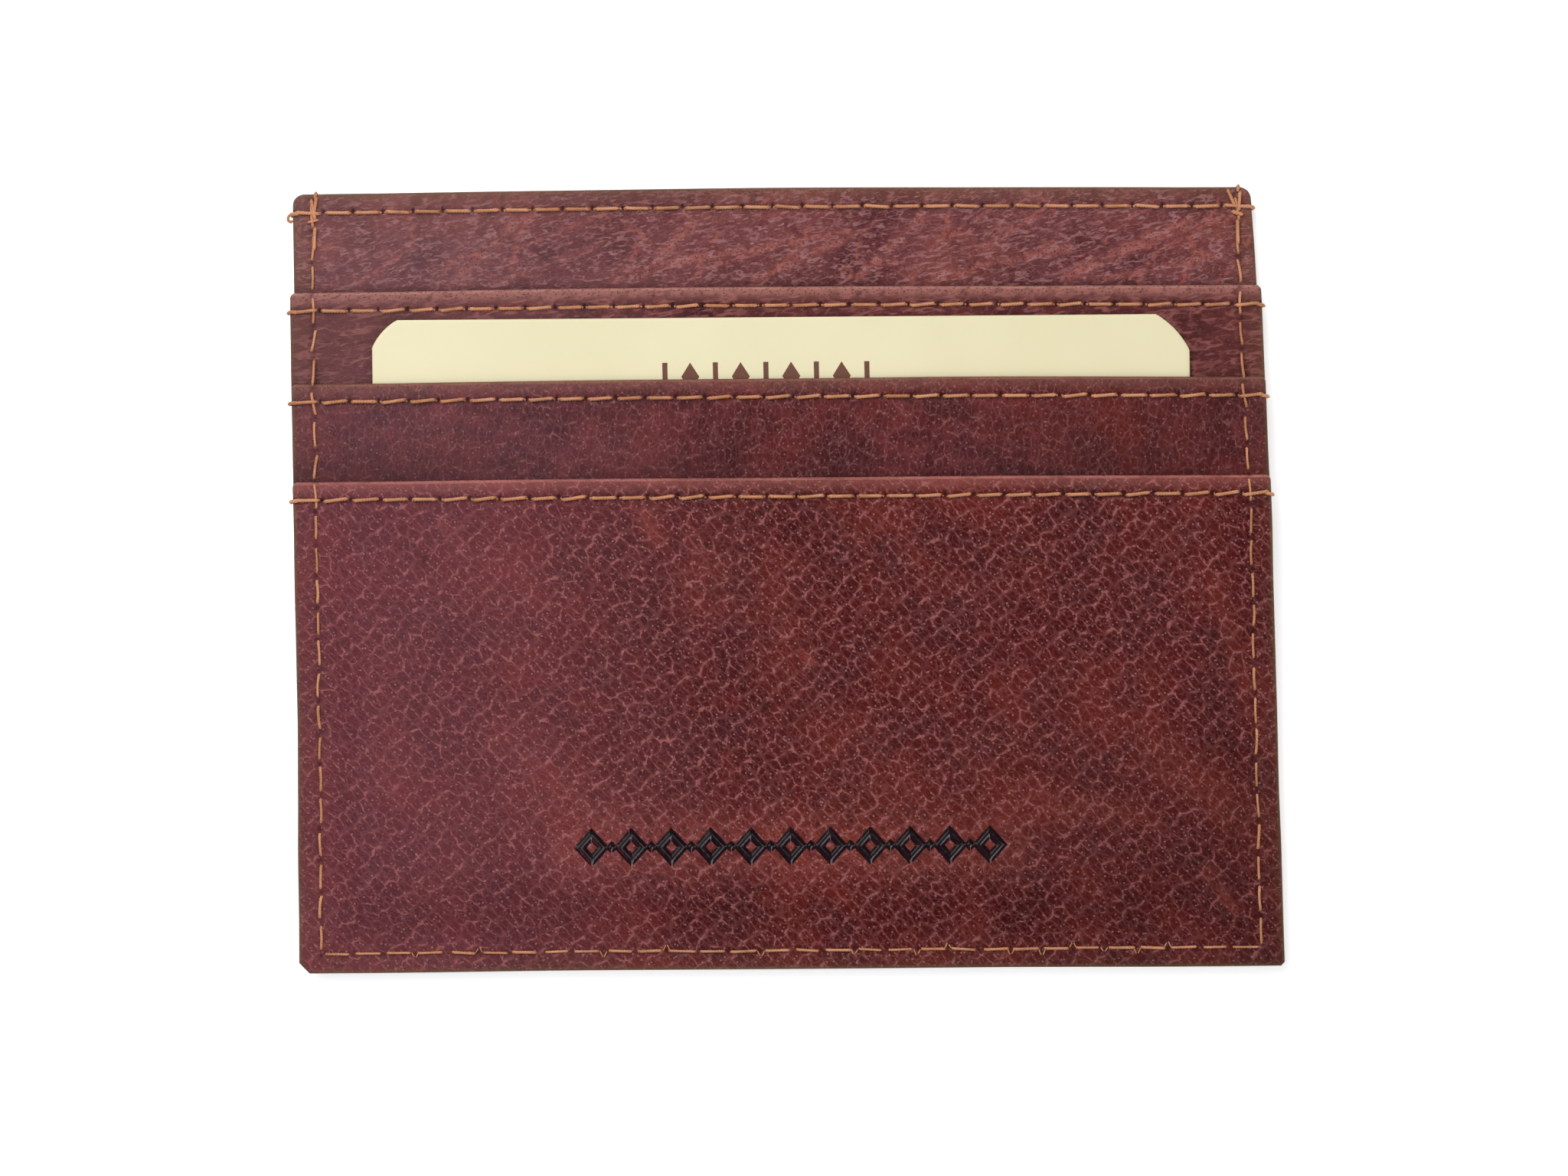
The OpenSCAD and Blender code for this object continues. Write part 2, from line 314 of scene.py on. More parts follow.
def new_object(name, verts, faces, materials, sharp, skin=None):
    """A mesh object from coordinates in millimetres, smooth but for edges sharper than an angle.

    skin is a leather's (map coordinates, wear and shading shares, material of each face)."""
    me = bpy.data.meshes.new(name)
    me.from_pydata([tuple(v) for v in out_of_true(verts) * MM], [],
                   [tuple(int(v) for v in f) for f in faces])
    for m in materials:
        me.materials.append(m)
    if skin:
        me.polygons.foreach_set("material_index", skin[2])
    bm = bmesh.new()
    bm.from_mesh(me)
    bmesh.ops.recalc_face_normals(bm, faces=bm.faces)
    bm.to_mesh(me)
    bm.free()
    if skin:
        loops = np.empty(len(me.loops), dtype=np.int32)
        me.loops.foreach_get("vertex_index", loops)
        me.uv_layers.new(name="skin").data.foreach_set("uv", skin[0].astype(np.float32)[loops].ravel())
        layer = me.color_attributes.new(name="wear_and_shading", type="FLOAT_COLOR", domain="POINT")
        layer.data.foreach_set("color", skin[1].astype(np.float32).ravel())
    me.polygons.foreach_set("use_smooth", np.ones(len(me.polygons), dtype=bool))
    me.set_sharp_from_angle(angle=math.radians(sharp))
    me.validate()
    return placed(name, me)


def steps(*spans):
    """Coarse grid lines from (start, end, spacing) spans, joined end to end."""
    lines = [spans[0][0]]
    for a, b, spacing in spans:
        count = max(1, round((b - a) / spacing))
        lines += list(np.linspace(a, b, count + 1)[1:])
    return np.array(lines)


def refine(lines, k):
    """Each interval of the coarse lines cut into k."""
    parts = [np.linspace(a, b, k + 1)[:-1] for a, b in zip(lines[:-1], lines[1:])]
    return np.append(np.concatenate(parts), lines[-1])


def quads(ids):
    """Quads over a grid of vertex numbers."""
    corners = ids[:-1, :-1], ids[:-1, 1:], ids[1:, 1:], ids[1:, :-1]
    return list(zip(*(c.ravel() for c in corners)))


def join(fine, coarse, k):
    """Faces between a fine edge and a coarse one with every k-th of its points."""
    return [(*fine[m * k:(m + 1) * k + 1], coarse[m + 1], coarse[m]) for m in range(len(coarse) - 1)]


FOLD_STEPS = 7
SKIN_UNIT = 100  # millimetres to 1 of the skin map


def ply(name, d0, d1, rows, cols, low, top, tab, corner, materials, k=4, fold=True,
        surface=None, set_in=0.0, wavy=0.06, seed=1, worn_top=False, mirror=None, haze=0.08):
    """A ply of leather or lining between two levels, with a rounded mouth at d0.

    rows are coarse distances from d0 to d1 and cols coarse shares of the width; the upper face
    is k times as fine. surface gives the upper face's lift, its share of wear with painted fold
    highlight, and its dark share, which holds painted shade as well as needle holes and stains.
    mirror turns the ply over, about half that height. haze is the share of olive near edges."""
    thick = height_at(top, 0.0, d0) - height_at(low, 0.0, d0)
    radius = thick / 2 if fold else 0.0
    rows = np.append(d0 + radius, rows[1:])
    fine_cols = refine(cols, k)
    foot_cuts = (1.1, 0.4) if d1 > BOTTOM - 1 else (0.4, 0.4)
    parts = []  # (points, skin coordinates, wear and shading shares) of each batch of points

    def place(row_values, col_values):
        """A grid over the ply: across, down, and the distance in from the nearer side."""
        s, d = np.meshgrid(col_values, row_values)
        down = np.clip(corner - (d - d0), 0, corner)
        nip = corner - np.sqrt(np.maximum(corner ** 2 - down ** 2, 0))
        left_cut, right_cut = (np.clip(d - (d1 - cut), 0, cut) for cut in foot_cuts)
        a = left_edge(d) - tab + set_in + nip + left_cut + wavy * noise(d, 0 * d, 7, seed)
        b = right_edge(d) + tab - set_in - nip - right_cut + wavy * noise(d, 0 * d, 7, seed + 1)
        return a + s * (b - a), d, np.minimum(s, 1 - s) * (b - a)

    def lift_and_shading(x, d, edge, shown=1.0):
        """Lift and shading shares of each point: wear with painted fold highlight, dark (needle holes, stains
        and painted shade) and rim.
        """
        lift, wear_and_highlight, dark = surface(x, d) if surface else (0 * x, 0 * x, 0 * x)
        if worn_top:
            edge = np.minimum(edge, d - d0)
        rim = np.maximum(bell(edge, 0.3), haze * bell(edge, 1.6))
        return lift, np.stack([v.ravel() for v in (wear_and_highlight * shown, dark * shown, rim, 1 + 0 * x)], 1)

    def add(x, d, z, along, wear_and_shading):
        """Numbers of a new batch of points, which lie a distance along the skin."""
        first = sum(len(part[0]) for part in parts)
        wave = wavy * 1.2 * noise(x, 0 * x, 22, seed + 2)
        skin = np.stack([x.ravel(), (0 * x - along).ravel()], 1) / SKIN_UNIT
        parts.append((points(x, d + wave, z), skin, wear_and_shading))
        return np.arange(first, first + x.size).reshape(x.shape)

    x, d, in_side = place(refine(rows, k), fine_cols)
    to_edge = np.minimum(in_side, d1 - d)
    sunk = BEVEL - np.sqrt(np.maximum(BEVEL ** 2 - np.clip(BEVEL - to_edge, 0, BEVEL) ** 2, 0))
    lift, wear_and_shading = lift_and_shading(x, d, to_edge)
    z = top(x, d) - sunk * min(1.0, thick / 0.5) + lift * smooth(0, 0.5, to_edge)
    upper = add(x, d, z, d, wear_and_shading)
    arc = [upper[0]]
    for n in range(1, FOLD_STEPS if fold else 1):
        angle = math.pi * n / FOLD_STEPS
        x, d, in_side = place([d0 + radius - radius * math.sin(angle)], fine_cols)
        base = low(x, np.full_like(x, rows[0]))
        squeeze = np.sqrt(np.clip(in_side / BEVEL, 0.25, 1))
        bent = (z[0] + base) / 2 + (z[0] - base) / 2 * math.cos(angle) * squeeze
        arc.append(add(x, d, bent, rows[0] - radius * angle, lift_and_shading(x, d, in_side)[1])[0])
    x, d, in_side = place(rows, cols)
    under = add(x, d, low(x, d), 2 * d0 - d, lift_and_shading(x, d, in_side, 0.0)[1])
    skins = quads(upper[::-1]) + quads(np.stack(arc)) + quads(under) + join(arc[-1], under[0], k)
    cuts = join(upper[-1][::-1], under[-1][::-1], k) + join(upper[:, 0][::-1], under[:, 0][::-1], k)
    cuts += join(upper[:, -1], under[:, -1], k)
    if fold:
        cuts += [(*(row[side] for row in arc), under[0, side]) for side in (0, -1)]
    verts, uv, wear_and_shading = (np.concatenate(column) for column in zip(*parts))
    if mirror is not None:
        verts = verts * (1, 1, -1) + (0, 0, mirror)
    material_ids = [0] * len(skins) + [1] * len(cuts)
    return new_object(name, verts, skins + cuts, materials, 40, (uv, wear_and_shading, material_ids))


YARN_PLIES = 3
YARN_LAY = 0.9  # length of one turn of the twist
YARN_SIDES = 5  # corners of each ply's section


class Bundle:
    """Collects threads and thin solids into one mesh."""

    def __init__(self):
        self.verts, self.faces, self.count = [], [], 0

    def loft(self, rings, joined=False):
        """A skin over rings of points, joined end to end or capped."""
        n = len(rings[0])
        ids = self.count + np.arange(len(rings) * n).reshape(len(rings), n)
        self.count += ids.size
        self.verts += rings
        if joined:
            ids = np.concatenate([ids, ids[:1]])
        else:
            self.faces += [tuple(ids[0][::-1]), tuple(ids[-1])]
        self.faces += quads(np.concatenate([ids, ids[:, :1]], 1))

    def thread(self, path, radius):
        """A twisted thread along path, an array of points."""
        tangent = np.gradient(path, axis=0)
        tangent /= np.linalg.norm(tangent, axis=1)[:, None]
        across = np.cross(tangent, [0, 0, 1.0])
        across /= np.maximum(np.linalg.norm(across, axis=1), 1e-6)[:, None]
        up = np.cross(across, tangent)
        run = np.concatenate([[0], np.cumsum(np.linalg.norm(np.diff(path, axis=0), axis=1))])
        thin = radius / 1.75
        taper = (0.6 + 0.4 * smooth(0, 2 * radius, np.minimum(run, run[-1] - run)))[:, None]
        for k in range(YARN_PLIES):
            turn = 2 * math.pi * (run / YARN_LAY + k / YARN_PLIES)
            lay_out = np.cos(turn)[:, None] * across + np.sin(turn)[:, None] * up
            centre = path + (radius - thin) * taper * lay_out
            sides = [centre + thin * taper * (math.cos(angle) * across + math.sin(angle) * up)
                     for angle in np.linspace(0, 2 * math.pi, YARN_SIDES, endpoint=False)]
            self.loft(list(np.stack(sides, 1)))

    def build(self, name, material, sharp=80):
        return new_object(name, np.concatenate(self.verts), self.faces, [material], sharp)


STITCH_POINTS = 14


def taut(run, height):
    """Height of a thread pulled tight over a surface, as its upper hull."""
    keep = [0]
    for i in range(1, len(run)):
        while len(keep) > 1:
            a, b = keep[-2], keep[-1]
            if (height[b] - height[a]) * (run[i] - run[a]) <= (height[i] - height[a]) * (run[b] - run[a]):
                keep.pop()
            else:
                break
        keep.append(i)
    return np.interp(run, run[keep], height[keep])


def stitch(bundle, a, b, face, radius, slant=0.0, sink=0.0, reach=0.1, deep=0.35, under=False, bow=0.0):
    """One stitch from hole a to hole b, each (x, d), on the surface that face gives."""
    a, b = np.array(a, float), np.array(b, float)
    t = np.linspace(0, 1, STITCH_POINTS)
    t = t - 0.07 * np.sin(2 * math.pi * t)
    run = b - a
    length = np.hypot(*run)
    side = np.array([-run[1], run[0]]) / length
    spot = a + t[:, None] * run + side * ((t - 0.5) * slant + bow * np.sin(math.pi * t))[:, None]
    x, d = spot.T
    dip = np.minimum(np.minimum(t, 1 - t) / reach, 1)
    lift = lerp(-deep, radius * 0.75 - sink, smooth(0, 1, dip))
    z = face(x, d) - lift if under else taut(t * length, face(x, d)) + lift
    bundle.thread(points(x, d, z), radius)


def row_of_stitches(bundle, holes, face, radius, seed, slant=(0.0, 0.0), under=False):
    """Stitches from hole to hole; each one's far end lies a random share of slant lower."""
    rng = np.random.default_rng(seed)
    for a, b in zip(holes[:-1], holes[1:]):
        start, end = rng.uniform(0.05, 0.09), rng.uniform(0.06, 0.11)
        stitch(bundle, a + (b - a) * start, b - (b - a) * end, face, radius, rng.uniform(*slant), under=under)


# ---- materials
class Graph:
    """A material's node tree, with short calls for the nodes used here."""

    def __init__(self, name, **sockets):
        self.material = bpy.data.materials.new(name)
        self.material.use_nodes = True
        self.tree = self.material.node_tree
        self.shader = self.tree.nodes["Principled BSDF"]
        for key, value in sockets.items():
            self.put(self.shader.inputs[key.replace("_", " ")], value)

    def put(self, socket, value):
        if isinstance(value, bpy.types.NodeSocket):
            self.tree.links.new(value, socket)
        elif isinstance(value, tuple) and len(value) == 3 and socket.type == "RGBA":
            socket.default_value = (*value, 1)
        else:
            socket.default_value = value

    def node(self, kind, inputs, **settings):
        n = self.tree.nodes.new("ShaderNode" + kind)
        for key, value in settings.items():
            setattr(n, key, value)
        for key, value in inputs.items():
            self.put(n.inputs[key], value)
        return n

    def skin(self, shift=0):
        """Coordinates on the ply in millimetres, shifted so that no two plies match."""
        uv = self.node("UVMap", {}, uv_map="skin").outputs["UV"]
        return self.vector("MULTIPLY_ADD", uv, (SKIN_UNIT,) * 3, (shift, shift * 1.7, 0))

    def split(self, at):
        return self.node("SeparateXYZ", {"Vector": at}).outputs

    def place(self):
        """Object coordinates in millimetres."""
        return self.vector("MULTIPLY", self.node("TexCoord", {}).outputs["Object"], (1 / MM,) * 3)

    def vector(self, operation, a, b, c=None):
        n = self.node("VectorMath", {0: a, 1: b}, operation=operation)
        if c is not None:
            self.put(n.inputs[2], c)
        return n.outputs["Vector"]

    def stretch(self, at, size, angle=0.0):
        """Coordinates turned by angle and divided by a cell's size along and across."""
        turned = self.node("Mapping", {"Vector": at, "Rotation": (0, 0, math.radians(angle))})
        return self.vector("MULTIPLY", turned.outputs["Vector"], (1 / size[0], 1 / size[1], 1))

    def noise(self, at, scale, detail=2.0, rough=0.5, out="Fac"):
        return self.node("TexNoise", {"Vector": at, "Scale": scale, "Detail": detail,
                                      "Roughness": rough}).outputs[out]

    def patches(self, at, scale, low, high, to_low=0.0, to_high=1.0, detail=2.0, rough=0.5):
        """Noise cut to soft-edged patches."""
        return self.step(self.noise(at, scale, detail, rough), low, high, to_low, to_high)

    def shaken(self, at, scale, rough, far):
        """A random shift of up to far each way."""
        colour = self.noise(at, scale, 2, rough, "Color")
        return self.vector("MULTIPLY_ADD", colour, (2 * far, 2 * far, 0), (-far, -far, 0))

    def cells(self, at, scale=1.0, feature="DISTANCE_TO_EDGE", loose=1.0):
        return self.node("TexVoronoi", {"Vector": at, "Scale": scale, "Randomness": loose},
                         feature=feature, voronoi_dimensions="2D").outputs["Distance"]

    def dots(self, at, size, low, high, share=1.0):
        """Small dots scattered one to a cell."""
        return self.step(self.cells(self.stretch(at, (size, size)), feature="F1"), low, high, share, 0.0)

    def math(self, operation, a, b=0.0, c=0.0):
        return self.node("Math", {0: a, 1: b, 2: c}, operation=operation).outputs["Value"]

    def times(self, a, b, plus=0.0):
        return self.math("MULTIPLY_ADD", a, b, plus)

    def plus(self, a, b):
        return self.math("ADD", a, b)

    def most(self, a, b):
        return self.math("MAXIMUM", a, b)

    def least(self, a, b):
        return self.math("MINIMUM", a, b)

    def step(self, value, low, high, to_low=0.0, to_high=1.0):
        inputs = {"Value": value, "From Min": low, "From Max": high, "To Min": to_low, "To Max": to_high}
        return self.node("MapRange", inputs, interpolation_type="SMOOTHSTEP").outputs["Result"]

    def mix(self, a, b, share):
        n = self.node("Mix", {"Factor": share}, data_type="RGBA")
        self.put(n.inputs[6], a)
        self.put(n.inputs[7], b)
        return n.outputs[2]

    def wear_and_shading(self):
        """The mesh's own shares: wear with painted fold highlight, dark (needle holes, stains and painted
        shade) and rim.
        """
        n = self.node("Attribute", {}, attribute_name="wear_and_shading")
        split = self.node("SeparateColor", {"Color": n.outputs["Color"]})
        return [split.outputs[c] for c in ("Red", "Green", "Blue")]

    def wrinkles(self, at, size, angle):
        """Long fine ridges, as contour lines of a stretched noise."""
        field = self.noise(self.stretch(at, size, angle), 1.0)
        return self.step(self.math("PINGPONG", field, 0.15), 0.0, 0.09, 1.0, 0.0)

    def needle_holes(self, mouth):
        """Dark share of the needle holes along a hem's row of stitching."""
        first, pitch, down = hem_row(mouth)[:3]
        at = self.split(self.skin())
        turn = self.times(at["X"], 1 / pitch, -first / pitch)
        across = self.times(self.math("SUBTRACT", turn, self.math("ROUND", turn)), pitch)
        along = self.times(at["Y"], 0.7, (down - 0.1) * 0.7)
        far = self.math("SQRT", self.times(across, across, self.times(along, along)))
        ragged = self.times(self.noise(self.skin(), 2.2), 0.24, -0.12)
        return self.step(self.plus(far, ragged), 0.08, 0.33, 0.8, 0.0)

    def bump(self, height, distance):
        n = self.node("Bump", {"Height": height, "Distance": distance, "Strength": 1.0})
        self.put(self.shader.inputs["Normal"], n.outputs["Normal"])

    def done(self, colour, rough):
        self.put(self.shader.inputs["Base Color"], colour)
        self.put(self.shader.inputs["Roughness"], rough)
        return self.material


OLIVE = (0.14, 0.08, 0.042)
CLOUD = (0.03, 0.004, 0.007)
HOLE_AND_SHADE = (0.022, 0.004, 0.004)


def leather(name, shift, dark, mid, ridge, wear_and_highlight_colour, cell, angle=0.0, gain=0.8, small=0.35,
            relief=0.00006, dots=0.6, line=0.15, loose=1.0, long=None, folds=None, mouth=0, fold_highlight_colour=None,
            left_sheen_colour=(0.18, 0.085, 0.102), ember=(0.11, 0.009, 0.005)):
    """Pull-up leather: dark pebbles between lighter ridges, clouded, rubbed lighter where worn, with painted
    highlight and sheen.

    cell is a pebble's size, loose how irregular it is, line the ridges' width. long is the size
    of extra wrinkles and folds that of reddish creases. The colour for rubbed wear also paints the
    highlight along each mouth's fold. The colour for the mouth's fold is a painted highlight line on
    its crest. The colour for the left side is a painted sheen that stands in for the lamp's
    reflection. dots is the share of painted glints on the pebble crowns."""
    g = Graph(name, Specular_IOR_Level=0.08)
    at = g.skin(shift)
    # ridges between the pebbles, and finer ones inside them
    frayed = g.shaken(at, 2.4, 0.6, 0.17)
    moved = g.vector("ADD", g.vector("ADD", at, g.shaken(at, 0.6, 0.5, 0.4)), frayed)
    grid = g.stretch(moved, cell, angle)
    wide = g.most(g.times(g.noise(at, 1.3), 3.4 * line, -0.7 * line), 0.04)
    edge = g.cells(grid, loose=loose)
    net = g.step(g.math("DIVIDE", edge, wide), 0.1, 1.0, 1.0, 0.0)
    net = g.times(net, g.patches(at, 0.9, 0.4, 0.62, 0.22))
    fine = g.step(g.cells(grid, 2.2), 0.02, 0.2, 1.0, 0.0)
    raised = g.most(net, g.times(fine, g.patches(at, 0.8, 0.4, 0.6, 0.3 * small, small)))
    skirt = g.step(edge, 0.0, 0.26, 0.34, 0.0)
    raised = g.most(raised, g.times(skirt, g.patches(at, 0.7, 0.35, 0.6)))
    if long:
        drawn = g.times(g.wrinkles(at, long, angle), g.patches(at, 0.5, 0.3, 0.65, 0.45, 0.9))
        raised = g.most(g.times(raised, 0.45), drawn)
    # clouds of colour, then wear with the painted fold highlight, then the ridges over them
    wear_and_highlight, shade, rim = g.wear_and_shading()
    patch = g.patches(at, 0.16, 0.42, 0.66, detail=3, rough=0.6)
    wear_and_highlight_share = g.times(wear_and_highlight, g.patches(at, 0.9, 0.3, 0.65, 0.3, 1.0, 3, 0.6))
    blotch = g.patches(at, 0.055, 0.35, 0.68, 0.0, 0.45, 3, 0.55)
    colour = g.mix(dark, mid, g.plus(blotch, g.patches(at, 0.42, 0.36, 0.62, 0.0, 0.55)))
    warm = g.patches(g.stretch(at, (22, 11), angle), 1.0, 0.45, 0.68, 0.0, 0.75, 3, 0.6)
    colour = g.mix(colour, ember, warm)
    colour = g.mix(colour, CLOUD, g.times(patch, 0.6))
    colour = g.mix(colour, wear_and_highlight_colour, g.least(g.times(wear_and_highlight_share, 0.75), 0.85))
    colour = g.mix(colour, ridge, g.least(g.times(raised, g.times(wear_and_highlight_share, 0.5, gain)), 1.0))
    # painted glints: small light dots on the pebble crowns stand in for highlights from the lamps; the same
    # dots raise the crowns in the bump
    spot = g.dots(at, 0.7, 0.09, 0.2)
    colour = g.mix(colour, tuple(c * 1.3 + 0.14 for c in ridge),
                   g.times(spot, g.patches(at, 2.0, 0.42, 0.58, 0.0, dots)))
    if folds:
        bent = g.stretch(g.vector("ADD", at, frayed), folds, -30)
        fold = g.times(g.step(g.cells(bent), 0.01, 0.075, 1.0, 0.0), g.patches(at, 0.2, 0.42, 0.56, 0.0, 0.6))
        colour = g.mix(colour, wear_and_highlight_colour, g.times(fold, g.patches(at, 1.8, 0.35, 0.6)))
    # painted sheen on the left, standing in for the lamp's reflection; olive near the cut edges; painted
    # highlight along the mouth's fold
    left_sheen = g.times(g.noise(at, 0.12), 14.0, g.plus(g.split(g.skin())["X"], -7.0))
    colour = g.mix(colour, left_sheen_colour, g.step(left_sheen, -44.0, 4.0, 0.22, 0.0))
    colour = g.mix(colour, OLIVE, g.times(rim, g.patches(at, 0.5, 0.25, 0.5, 0.5, 1.0, 3, 0.6)))
    # painted highlight: a light line on the crest of the mouth's fold and a fainter band below it
    if fold_highlight_colour:
        off = g.math("ABSOLUTE", g.plus(g.split(g.skin())["Y"], mouth + 0.12))
        crest = g.times(g.step(off, 0.08, 0.34, 0.9, 0.0), g.patches(at, 0.3, 0.25, 0.6, 0.45, 1.0, 3))
        colour = g.mix(colour, fold_highlight_colour, g.most(crest, g.step(off, 0.3, 1.9, 0.22, 0.0)))
    # pores where the wear and painted fold highlight are strong, and needle holes; the dark share, which
    # holds needle holes, stains and painted shade, goes toward the hole colour
    pore = g.dots(at, 0.5, 0.1, 0.24, 0.55)
    shade = g.most(shade, g.times(pore, g.step(wear_and_highlight, 0.3, 0.8)))
    colour = g.mix(colour, HOLE_AND_SHADE, g.most(shade, g.needle_holes(mouth)))
    grit = g.times(g.noise(at, 5.0, 3, 0.6), 0.2, raised)
    g.bump(g.times(spot, 0.3, grit), relief)
    return g.done(colour, g.times(raised, -0.1, g.times(patch, 0.06, 0.5)))


def cut_edge():
    """Olive-brown paint over the fibres of a cut edge."""
    g = Graph("cut_edge", Specular_IOR_Level=0.35)
    fibre = g.noise(g.vector("MULTIPLY", g.place(), (1.2, 1.2, 7)), 1.4, 4, 0.65)
    g.bump(fibre, 0.00008)
    return g.done(g.mix((0.05, 0.022, 0.014), (0.15, 0.09, 0.04), g.step(fibre, 0.3, 0.7)), 0.7)


def lining_cloth():
    """Fine dark twill."""
    g = Graph("lining_twill", Specular_IOR_Level=0.25, Sheen_Weight=0.25, Sheen_Roughness=0.4)
    at = g.place()
    rib = g.node("TexWave", {"Vector": at, "Scale": 0.9, "Distortion": 0.6, "Detail": 1.0},
                 bands_direction="DIAGONAL").outputs["Fac"]
    g.bump(rib, 0.00004)
    fuzz = g.noise(at, 3.0, 3, 0.6)
    return g.done(g.mix((0.018, 0.009, 0.008), (0.06, 0.032, 0.026), g.times(rib, fuzz)), 0.85)


def noisy(name, rough, dark, light, scale, low, high, top=1.0, over=None, relief=None, **sockets):
    """Two colours in soft patches. over is a third one and its patches, relief a noise and its height."""
    g = Graph(name, **sockets)
    at = g.place()
    colour = g.mix(dark, light, g.patches(at, scale, low, high, 0.0, top, 3, 0.6))
    if over:
        colour = g.mix(colour, over[0], g.patches(at, *over[1:]))
    if relief:
        g.bump(g.noise(at, *relief[:-1]), relief[-1])
    return g.done(colour, rough)


EDGE = cut_edge()
LINING = lining_cloth()
# the thread's third, lightest colour is painted highlight: small glints scattered over its fibres
YARN = noisy("thread_yarn", 0.45, (0.40, 0.145, 0.055), (0.61, 0.262, 0.125), 0.35, 0.3, 0.7,
             over=((0.80, 0.45, 0.26), 9.0, 0.5, 0.8, 0.0, 0.6, 2, 0.6), relief=(9.0, 2, 0.6, 0.00003),
             Specular_IOR_Level=0.4, Sheen_Weight=0.3, Sheen_Roughness=0.35, Sheen_Tint=(1.0, 0.75, 0.5))
CARD_STOCK = noisy("card_stock", 0.55, (0.74, 0.665, 0.415), (0.77, 0.695, 0.445), 0.05, 0.3, 0.7,
                   over=((0.60, 0.51, 0.30), 2.6, 0.62, 0.78, 0.0, 0.25, 4, 0.7),
                   relief=(6.0, 3, 0.6, 0.000012), Specular_IOR_Level=0.35)
INK = noisy("printed_ink", 0.6, (0.14, 0.05, 0.028), (0.34, 0.17, 0.10), 4.0, 0.55, 0.8, 0.5,
            Specular_IOR_Level=0.3)
GLOSS = noisy("stamp_gloss", 0.13, (0.006, 0.002, 0.004), (0.022, 0.006, 0.009), 1.3, 0.35, 0.75,
              relief=(1.3, 3, 0.6, 0.00003), Specular_IOR_Level=0.28)
FRONT_LEATHER = leather(
    "leather_front", 3, dark=(0.035, 0.0006, 0.0006), mid=(0.07, 0.0028, 0.003),
    ridge=(0.275, 0.083, 0.079), wear_and_highlight_colour=(0.25, 0.042, 0.024), cell=(1.75, 0.98), angle=48,
    gain=0.94, line=0.14, dots=0.45, relief=0.0001, loose=0.58, left_sheen_colour=(0.27, 0.09, 0.12),
    mouth=MOUTH_3, fold_highlight_colour=(0.42, 0.15, 0.125))
MIDDLE_LEATHER = leather(
    "leather_middle", 41, dark=(0.036, 0.002, 0.0035), mid=(0.122, 0.018, 0.021),
    ridge=(0.26, 0.088, 0.086), wear_and_highlight_colour=(0.2, 0.06, 0.05), cell=(0.85, 1.5), angle=4,
    gain=0.62, small=0.45, relief=0.00005, dots=0.3, line=0.11, mouth=MOUTH_2,
    fold_highlight_colour=(0.25, 0.11, 0.075))
UPPER_LEATHER = leather(
    "leather_upper", 67, dark=(0.055, 0.006, 0.008), mid=(0.085, 0.015, 0.016),
    ridge=(0.27, 0.09, 0.08), wear_and_highlight_colour=(0.33, 0.115, 0.092), cell=(1.9, 0.6), angle=-6,
    gain=0.85, small=0.3, relief=0.00008, dots=0.1, long=(3.2, 0.95), mouth=MOUTH_1,
    left_sheen_colour=(0.17, 0.095, 0.105), ember=(0.11, 0.02, 0.014), fold_highlight_colour=(0.42, 0.19, 0.155))
WALL_LEATHER = leather(
    "leather_wall", 89, dark=(0.072, 0.011, 0.016), mid=(0.108, 0.026, 0.031),
    ridge=(0.32, 0.135, 0.132), wear_and_highlight_colour=(0.36, 0.1, 0.075), cell=(1.0, 0.42), angle=-9,
    gain=0.95, small=0.4, relief=0.00007, dots=0.1, long=(1.7, 0.6),
    left_sheen_colour=(0.19, 0.11, 0.125), ember=(0.16, 0.03, 0.022), folds=(9.0, 3.6))
BACK_LEATHER = leather(
    "leather_back", 131, dark=(0.036, 0.0012, 0.0012), mid=(0.058, 0.003, 0.0028),
    ridge=(0.21, 0.042, 0.04), wear_and_highlight_colour=(0.15, 0.024, 0.018), cell=(1.03, 0.74), angle=-30)


# ---- surfaces of the plies
def sewn(x, d, *rows):
    """Drawn-down depth and darkness from several rows of needle holes."""
    drawn, dark = np.zeros_like(x), np.zeros_like(x)
    for name in rows:
        depth, groove, hole_shade = (0.2, 0.09, 0.8) if name == "body" else (0.24, 0.06, 0.0)
        sunk, shade = seam_marks(x, d, HOLES[name], depth, groove, hole_shade)
        drawn, dark = np.maximum(drawn, sunk), np.maximum(dark, shade)
    return drawn, dark


def fold_highlight(d, mouth):
    """Painted highlight: the lighter band along the crest of a mouth's fold, where the lamp catches it."""
    return bell(d - mouth - 0.4, 0.55)


CREASES = [
    (-34, 8.8, -27, 2.8, 0.35, 0.7), (-30, 9.6, -20, 6.0, 0.3, 0.45), (-15, 9.5, -9, 3.2, 0.4, 0.6),
    (-12, 8.0, 2, 5.6, 0.5, 0.7), (-3, 9.6, 9, 4.4, 0.35, 0.6), (8, 9.5, 15, 3.0, 0.4, 0.6),
    (16, 9.4, 30, 6.4, 0.45, 0.75), (20, 7.2, 27, 3.0, 0.35, 0.5), (30, 9.5, 43, 3.4, 0.55, 0.9),
    (33, 9.8, 46, 7.2, 0.35, 0.6), (38, 6.0, 46, 3.2, 0.3, 0.5), (-42, 7.0, -36, 3.6, 0.3, 0.35),
]


